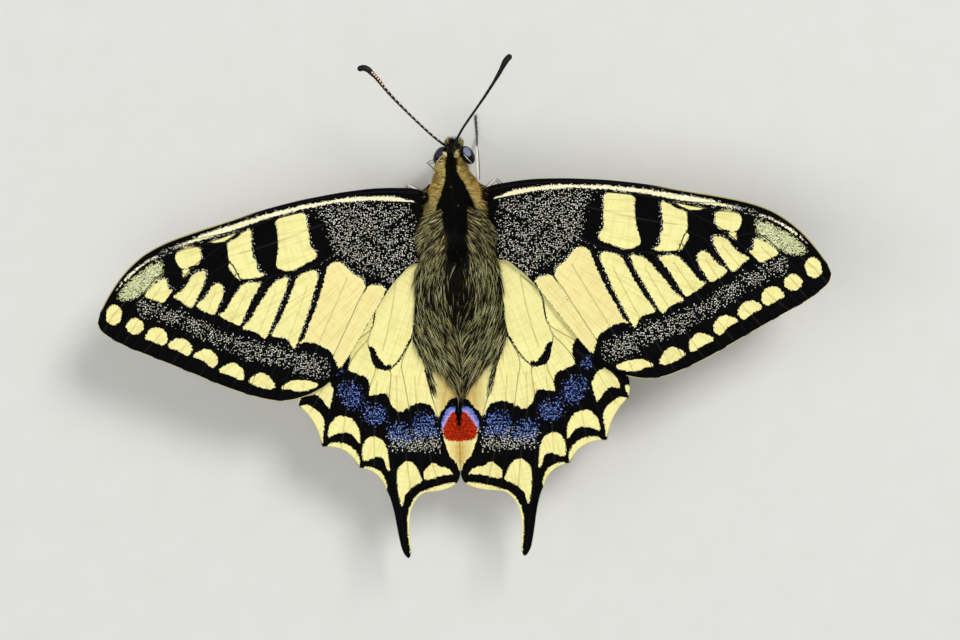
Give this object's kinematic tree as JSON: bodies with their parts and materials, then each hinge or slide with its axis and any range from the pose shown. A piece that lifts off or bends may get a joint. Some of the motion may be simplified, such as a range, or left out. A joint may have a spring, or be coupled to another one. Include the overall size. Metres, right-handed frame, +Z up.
{
  "type": "swallowtail butterfly",
  "caption": "Life-size still model of an Old World swallowtail standing on its six legs with its wings spread flat.",
  "frame": {"origin": "on the floor under the middle of the insect's box as seen from above", "axes": "+X towards the insect's left wing tip, +Y towards its tail, so the head looks along -Y, +Z up"},
  "size_m": [0.0764, 0.0522, 0.0118],
  "materials": {
    "wing_scales": "matte overlapping scales, cream and near black, with blue and brick-red marks",
    "thorax_hair": "dense soft hair, black down the back and ochre at the sides",
    "abdomen_hair": "short scales and long grey-yellow hairs, black down the back",
    "head_hair": "short tufted hair, black with ochre sides",
    "palp_hair": "bristling cream hair",
    "eye_cornea": "glossy, finely faceted",
    "antenna_chitin": "satin black, ringed, with pale scales under the club",
    "tongue_chitin": "dark brown, ringed, satin",
    "leg_chitin": "satin black with cream scales on the shins"
  },
  "bodies": {
    "root": {"prothorax": "thorax_hair", "mesothorax": "thorax_hair", "metathorax": "thorax_hair", "abdomen_1": "abdomen_hair", "abdomen_2": "abdomen_hair", "abdomen_3": "abdomen_hair", "abdomen_4": "abdomen_hair", "abdomen_5": "abdomen_hair", "abdomen_6": "abdomen_hair", "abdomen_7": "abdomen_hair", "head": "head_hair", "eye_left": "eye_cornea", "palp_left": "palp_hair", "antenna_left": "antenna_chitin", "eye_right": "eye_cornea", "palp_right": "palp_hair", "antenna_right": "antenna_chitin", "proboscis": "tongue_chitin", "forewing_left": "wing_scales", "hindwing_left": "wing_scales", "tegula_left": "thorax_hair", "forewing_right": "wing_scales", "hindwing_right": "wing_scales", "tegula_right": "thorax_hair", "femur_fore_left": "leg_chitin", "tibia_fore_left": "leg_chitin", "tarsus_fore_left": "leg_chitin", "femur_fore_right": "leg_chitin", "tibia_fore_right": "leg_chitin", "tarsus_fore_right": "leg_chitin", "femur_mid_left": "leg_chitin", "tibia_mid_left": "leg_chitin", "tarsus_mid_left": "leg_chitin", "femur_mid_right": "leg_chitin", "tibia_mid_right": "leg_chitin", "tarsus_mid_right": "leg_chitin", "femur_hind_left": "leg_chitin", "tibia_hind_left": "leg_chitin", "tarsus_hind_left": "leg_chitin", "femur_hind_right": "leg_chitin", "tibia_hind_right": "leg_chitin", "tarsus_hind_right": "leg_chitin"}
  },
  "joints": []
}
